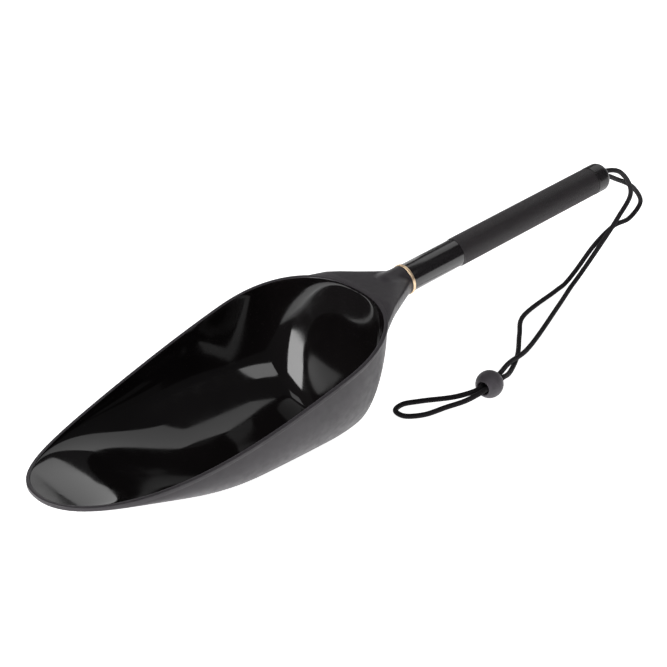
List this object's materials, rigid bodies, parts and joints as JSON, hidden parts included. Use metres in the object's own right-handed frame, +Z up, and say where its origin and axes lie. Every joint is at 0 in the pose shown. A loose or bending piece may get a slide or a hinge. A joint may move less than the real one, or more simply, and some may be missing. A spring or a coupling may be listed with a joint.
{
  "type": "hand scoop",
  "caption": "Hand scoop with a deep one-piece bowl, a screw-on tubular handle with a knurled sleeve, and a cord wrist lanyard with a sliding bead.",
  "frame": {"origin": "middle of the scoop's own length and width, lanyard left out, on the surface it stands on", "axes": "+X towards the bowl's tip, +Z up, +Y to the left of the tip"},
  "size_m": [0.6014, 0.1414, 0.1194],
  "materials": {
    "bowl_plastic": "satin",
    "insert_brass": "satin",
    "plug_plastic": "satin",
    "ring_metal": "polished",
    "tube_gloss": "gloss",
    "sleeve_rubber": "matte",
    "cap_plastic": "satin",
    "cord_braid": "matte",
    "knot_braid": "matte",
    "bead_plastic": "matte"
  },
  "bodies": {
    "scoop": {"scoop_bowl": "bowl_plastic", "threaded_insert": "insert_brass"},
    "collar": {"collar_ring": "ring_metal"},
    "handle": {"threaded_plug": "plug_plastic", "handle_tube": "tube_gloss", "grip_sleeve": "sleeve_rubber", "end_cap": "cap_plastic", "lanyard_knot": "knot_braid", "lanyard_cord": "cord_braid"},
    "bead": {"cord_bead": "bead_plastic"}
  },
  "joints": [
    {"name": "thread_travel", "type": "slide", "parent": "scoop", "child": "collar", "axis": [-0.9933, 0, 0.1158], "range_m": [0, 0.01397]},
    {"name": "handle_unscrew", "type": "hinge", "parent": "collar", "child": "handle", "pos_m": [-0.05147, 0, 0.0843], "axis": [-0.9933, 0, 0.1158], "range_deg": [0, 3960]},
    {"name": "bead_slide", "type": "slide", "parent": "handle", "child": "bead", "axis": [0.9816, 0.1908, 0], "range_m": [-0.006, 0.006]}
  ],
  "couplings": [
    {"joint": "thread_travel", "follows": "handle_unscrew", "m_per_rad": 0.00020213}
  ]
}
